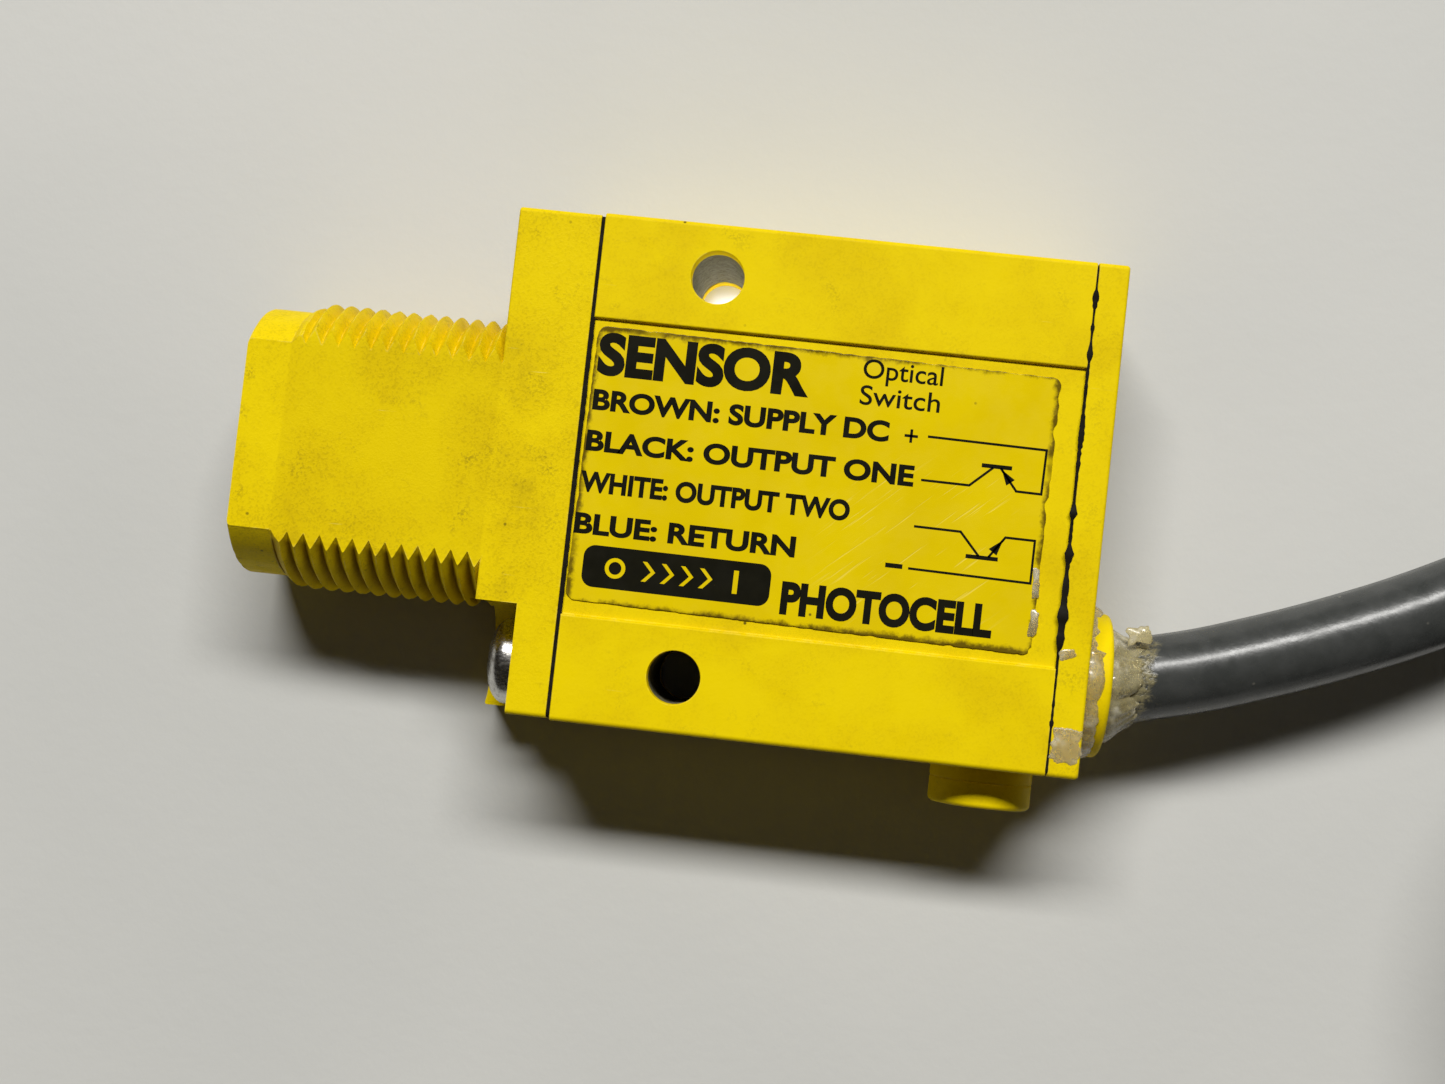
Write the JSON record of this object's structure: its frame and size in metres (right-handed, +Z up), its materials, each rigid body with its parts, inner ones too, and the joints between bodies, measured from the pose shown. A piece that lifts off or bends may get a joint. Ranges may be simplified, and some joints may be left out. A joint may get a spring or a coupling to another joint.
{
  "type": "photoelectric sensor",
  "caption": "Miniature self-contained photoelectric sensor: flat yellow body, threaded lens barrel at one end and a grey cable with loose wires at the other.",
  "frame": {"origin": "bottom centre of the sensor without its free cable, on the wide face it lies on", "axes": "+X from the lens towards the cable, +Y across the body towards the narrow side away from the cable gland, +Z up out of the labelled wide face"},
  "size_m": [0.1477, 0.0657, 0.0275],
  "materials": {
    "body": "moulded yellow glass-filled plastic, satin, soiled",
    "lens_red": "moulded deep red infrared-pass acrylic",
    "clear": "clear acrylic",
    "smoked": "smoked epoxy",
    "seal": "black rubber gasket",
    "black_plastic": "black moulded plastic",
    "blue_plastic": "blue moulded plastic",
    "board": "green glass-epoxy board",
    "steel": "stainless steel, scratched",
    "brass": "bare brass",
    "liner": "grey cast epoxy",
    "label": "printed yellow polyester label, worn",
    "sealant": "aged translucent adhesive",
    "cable_sheath": "grey PVC sheath",
    "tantalum": "orange moulded capacitor case",
    "wire_brown": "brown PVC insulation",
    "wire_black": "black PVC insulation",
    "wire_white": "white PVC insulation",
    "wire_blue": "blue PVC insulation",
    "white_plastic": "white moulded plastic"
  },
  "bodies": {
    "sensor_body": {"lens_block": "body", "lens": "lens_red", "lens_seal": "seal", "optics_holder": "black_plastic", "emitter_diode": "clear", "receiver_diode": "smoked", "front_seal": "seal", "lens_block_screw_lower": "steel", "lens_block_screw_upper": "steel", "housing": "body", "mounting_sleeve_lower": "liner", "mounting_sleeve_upper": "liner", "label": "label", "circuit_board": "board", "controller_chip": "black_plastic", "source_transistor": "black_plastic", "sink_transistor": "black_plastic", "supply_capacitor": "tantalum", "amplifier_chip": "black_plastic", "control_board": "board", "gain_trimmer": "blue_plastic", "mode_switch": "black_plastic", "indicator_led": "lens_red", "rear_seal": "seal", "rear_cover": "body", "window_seal": "seal", "cable_gland": "body", "gland_sealant": "sealant", "cable": "cable_sheath", "cable_coil": "cable_sheath", "coil_tie": "black_plastic", "cable_tail": "cable_sheath", "lead_brown": "wire_brown", "inner_lead_brown": "wire_brown", "lead_black": "wire_black", "inner_lead_black": "wire_black", "lead_white": "wire_white", "inner_lead_white": "wire_white", "lead_blue": "wire_blue", "inner_lead_blue": "wire_blue"},
    "gain_adjuster": {"gain_screw": "brass"},
    "mode_selector": {"mode_switch_rotor": "white_plastic"},
    "control_cover": {"control_window": "clear"}
  },
  "joints": [
    {"name": "gain_turn", "type": "hinge", "parent": "sensor_body", "child": "gain_adjuster", "pos_m": [0.02145, 0.01033, 0.0061], "axis": [1, 0, 0], "continuous": true},
    {"name": "mode_turn", "type": "hinge", "parent": "sensor_body", "child": "mode_selector", "pos_m": [0.02145, 0.00392, 0.0061], "axis": [1, 0, 0], "range_deg": [0, 90]},
    {"name": "window_lift", "type": "slide", "parent": "sensor_body", "child": "control_cover", "axis": [1, 0, 0], "range_m": [0, 0.006]}
  ]
}
